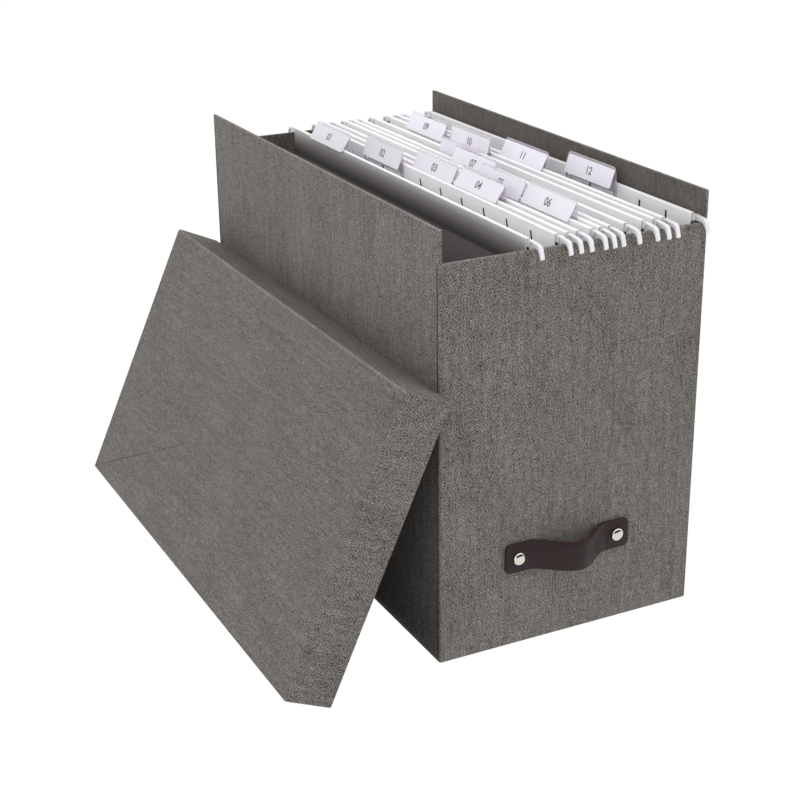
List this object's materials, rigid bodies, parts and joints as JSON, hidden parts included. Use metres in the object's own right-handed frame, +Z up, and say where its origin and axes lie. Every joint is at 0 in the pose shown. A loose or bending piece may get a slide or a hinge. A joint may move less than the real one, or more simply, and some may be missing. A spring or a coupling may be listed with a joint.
{
  "type": "document box",
  "caption": "Cloth-covered board box for hanging files, with its lift-off lid leaning on one side, a riveted leather pull, and tabbed paper files on plastic rods.",
  "frame": {"origin": "centre of the box body's underside", "axes": "+Z up, Y along the box with the leather pull on the end wall that faces -Y, X across the box with the lid leaning on the side wall that faces -X"},
  "size_m": [0.2863, 0.368, 0.27],
  "materials": {
    "cloth": "woven canvas over board",
    "leather": "smooth dark brown",
    "nickel": "polished nickel",
    "card": "smooth white card",
    "white_plastic": "satin white",
    "clear_plastic": "clear film",
    "label_paper": "matt white paper"
  },
  "bodies": {
    "root": {"box_body": "cloth", "lid": "cloth", "strap_handle": "leather", "rivet_left": "nickel", "rivet_right": "nickel", "rivet_back_left": "nickel", "rivet_back_right": "nickel", "file_1": "card", "file_2": "card", "file_3": "card", "file_4": "card", "file_5": "card", "file_6": "card", "rod_01": "white_plastic", "rod_02": "white_plastic", "rod_03": "white_plastic", "rod_04": "white_plastic", "rod_05": "white_plastic", "rod_06": "white_plastic", "rod_07": "white_plastic", "rod_08": "white_plastic", "rod_09": "white_plastic", "rod_10": "white_plastic", "rod_11": "white_plastic", "rod_12": "white_plastic", "tab_01": "clear_plastic", "tab_02": "clear_plastic", "tab_03": "clear_plastic", "tab_04": "clear_plastic", "tab_05": "clear_plastic", "tab_06": "clear_plastic", "tab_07": "clear_plastic", "tab_08": "clear_plastic", "tab_09": "clear_plastic", "tab_10": "clear_plastic", "tab_11": "clear_plastic", "tab_12": "clear_plastic", "label_01": "label_paper", "label_02": "label_paper", "label_03": "label_paper", "label_04": "label_paper", "label_05": "label_paper", "label_06": "label_paper", "label_07": "label_paper", "label_08": "label_paper", "label_09": "label_paper", "label_10": "label_paper", "label_11": "label_paper", "label_12": "label_paper"}
  },
  "joints": []
}
